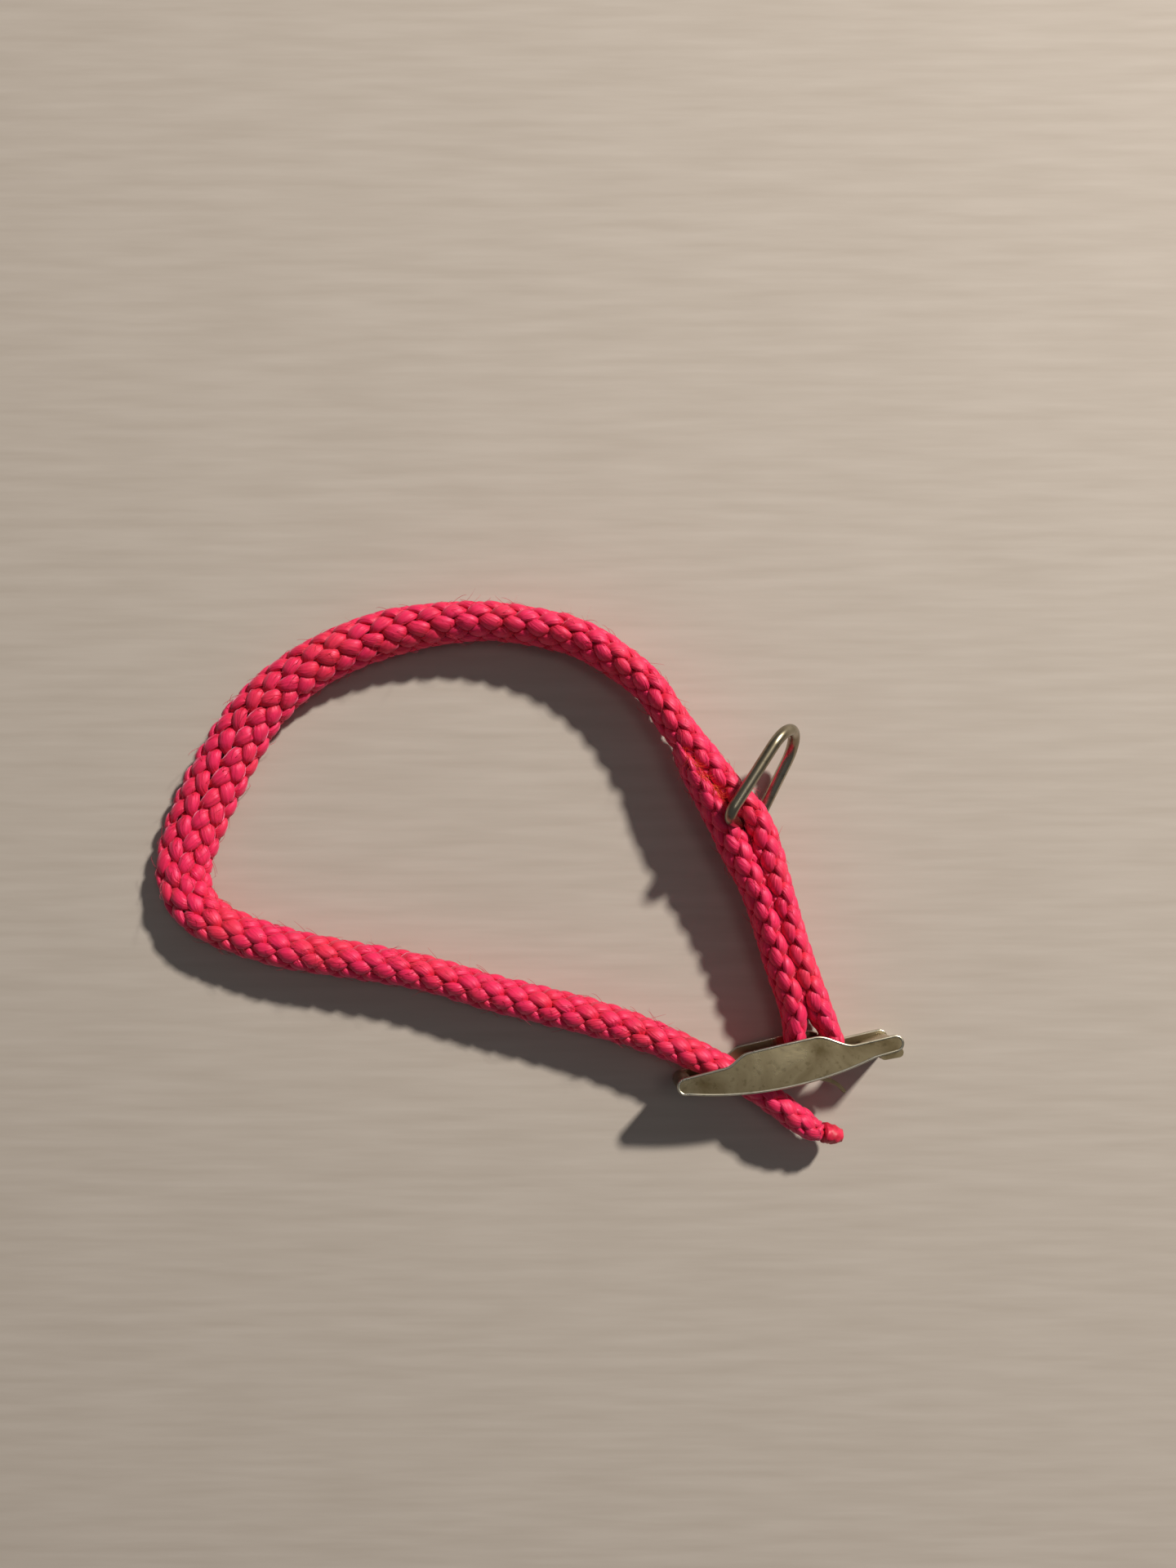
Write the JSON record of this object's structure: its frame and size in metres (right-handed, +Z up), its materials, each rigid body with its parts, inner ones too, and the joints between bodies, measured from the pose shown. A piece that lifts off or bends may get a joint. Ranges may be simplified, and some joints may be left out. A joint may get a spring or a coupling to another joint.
{
  "type": "cord loop lanyard with prong buckle and d-ring",
  "caption": "Short closed loop of pink braided cord with a small metal prong buckle that adjusts it and a wire D-ring beside the buckle.",
  "frame": {"origin": "on the resting face of the buckle's lower cheek, straight under the axis of the centre bar; the lower cheek rests on the surface", "axes": "+Z up from the surface the loop lies on, along the centre bar; +Y from the buckle towards the D-ring; +X to the right of the loop, roughly along the buckle towards its rolled end"},
  "size_m": [0.0936, 0.0683, 0.0118],
  "materials": {
    "cord": "braided nylon, slightly glossy",
    "sealed_end": "melted nylon",
    "nickel": "tarnished nickel plating on steel"
  },
  "bodies": {
    "cord": {"cord_loop": "cord", "cord_fold": "cord", "cord_return": "cord", "cord_tip": "sealed_end"},
    "buckle": {"buckle_frame": "nickel", "centre_bar": "nickel"},
    "prong": {"prong": "nickel"},
    "ring": {"d_ring": "nickel"}
  },
  "joints": [
    {"name": "buckle_swing", "type": "hinge", "parent": "cord", "child": "buckle", "pos_m": [0, 0, 0.0042], "axis": [0, 0, 1], "range_deg": [-2, 10]},
    {"name": "prong_swing", "type": "hinge", "parent": "buckle", "child": "prong", "pos_m": [0, 0, 0.0042], "axis": [0, 0, 1], "range_deg": [-30, 43]},
    {"name": "ring_swing", "type": "hinge", "parent": "cord", "child": "ring", "pos_m": [-0.01, 0.0281, 0.0059], "axis": [-0.3584, 0.1195, 0.9259], "range_deg": [-36, 20]}
  ]
}
